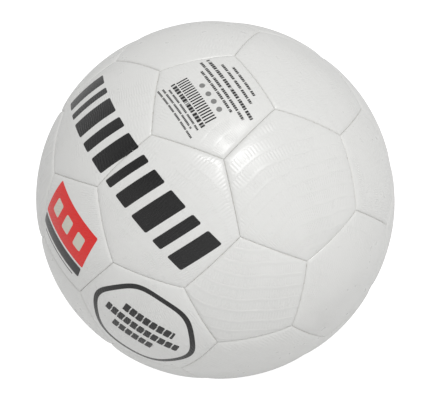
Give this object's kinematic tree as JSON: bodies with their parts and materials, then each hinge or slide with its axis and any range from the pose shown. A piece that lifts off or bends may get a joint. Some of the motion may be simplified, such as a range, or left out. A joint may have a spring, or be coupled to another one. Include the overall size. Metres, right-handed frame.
{
  "type": "association football",
  "caption": "Hand-stitched white football of pentagonal and hexagonal padded panels over an air bladder, with a removable rubber valve insert.",
  "frame": {"origin": "centre of the ball", "axes": "+Z out through the middle of a hexagonal panel, +X out through the middle of a seam between two hexagonal panels, -Y towards the pentagonal panel that carries the printed inflation notes"},
  "size_m": [0.2192, 0.2196, 0.2196],
  "materials": {
    "cover": "semi-gloss embossed polyurethane",
    "thread": "waxed polyester",
    "bladder": "natural latex",
    "valve_housing": "matt moulded rubber",
    "valve_insert": "matt moulded rubber",
    "valve_patch": "matt rubberised cloth"
  },
  "bodies": {
    "ball": {"hexagon_panel_01": "cover", "hexagon_panel_02": "cover", "hexagon_panel_03": "cover", "hexagon_panel_04": "cover", "hexagon_panel_05": "cover", "hexagon_panel_06": "cover", "hexagon_panel_07": "cover", "hexagon_panel_08": "cover", "hexagon_panel_09": "cover", "hexagon_panel_10": "cover", "hexagon_panel_11": "cover", "hexagon_panel_12": "cover", "hexagon_panel_13": "cover", "hexagon_panel_14": "cover", "hexagon_panel_15": "cover", "hexagon_panel_16": "cover", "hexagon_panel_17": "cover", "hexagon_panel_18": "cover", "hexagon_panel_19": "cover", "hexagon_panel_20": "cover", "pentagon_panel_01": "cover", "pentagon_panel_02": "cover", "pentagon_panel_03": "cover", "pentagon_panel_04": "cover", "pentagon_panel_05": "cover", "pentagon_panel_06": "cover", "pentagon_panel_07": "cover", "pentagon_panel_08": "cover", "pentagon_panel_09": "cover", "pentagon_panel_10": "cover", "pentagon_panel_11": "cover", "pentagon_panel_12": "cover", "upper_half_thread": "thread", "lower_half_thread": "thread", "closing_thread": "thread", "bladder": "bladder", "valve_housing": "valve_housing", "valve_patch": "valve_patch"},
    "insert": {"valve_insert": "valve_insert"}
  },
  "joints": [
    {"name": "insert_pull", "type": "slide", "parent": "ball", "child": "insert", "axis": [-0.5774, 0.7454, 0.3333], "range_m": [0, 0.02]}
  ]
}
